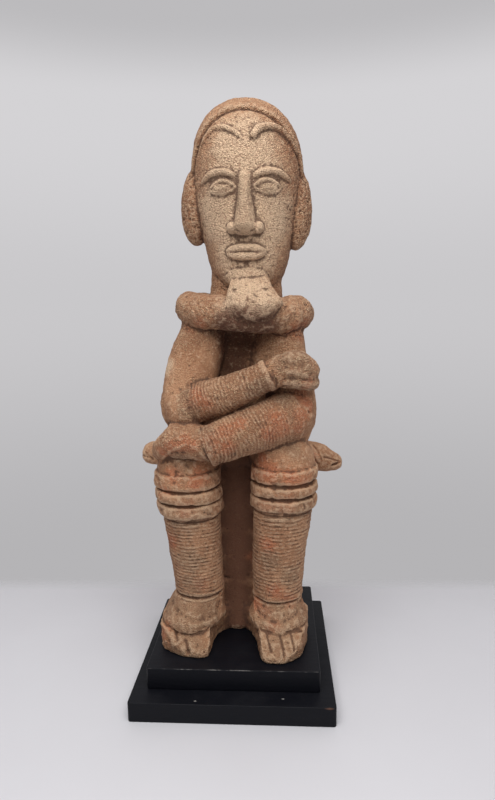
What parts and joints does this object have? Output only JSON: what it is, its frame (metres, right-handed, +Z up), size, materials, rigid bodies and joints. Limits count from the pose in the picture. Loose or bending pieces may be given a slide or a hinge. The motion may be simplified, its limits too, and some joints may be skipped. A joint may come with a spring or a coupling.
{
  "type": "terracotta figure",
  "caption": "Seated terracotta figure with folded arms, ringed shins, collar and cap, on a stepped black base.",
  "frame": {"origin": "middle of the underside of the lower base board", "axes": "+Z up through the head, -Y the way the figure faces, +X towards the figure's left side"},
  "size_m": [0.23, 0.212, 0.6229],
  "materials": {
    "terracotta": "matt fired clay with grit, worn",
    "black_paint": "satin black painted board, edges a little worn"
  },
  "bodies": {
    "root": {"terracotta_figure": "terracotta", "base_upper_board": "black_paint", "base_lower_board": "black_paint"}
  },
  "joints": []
}
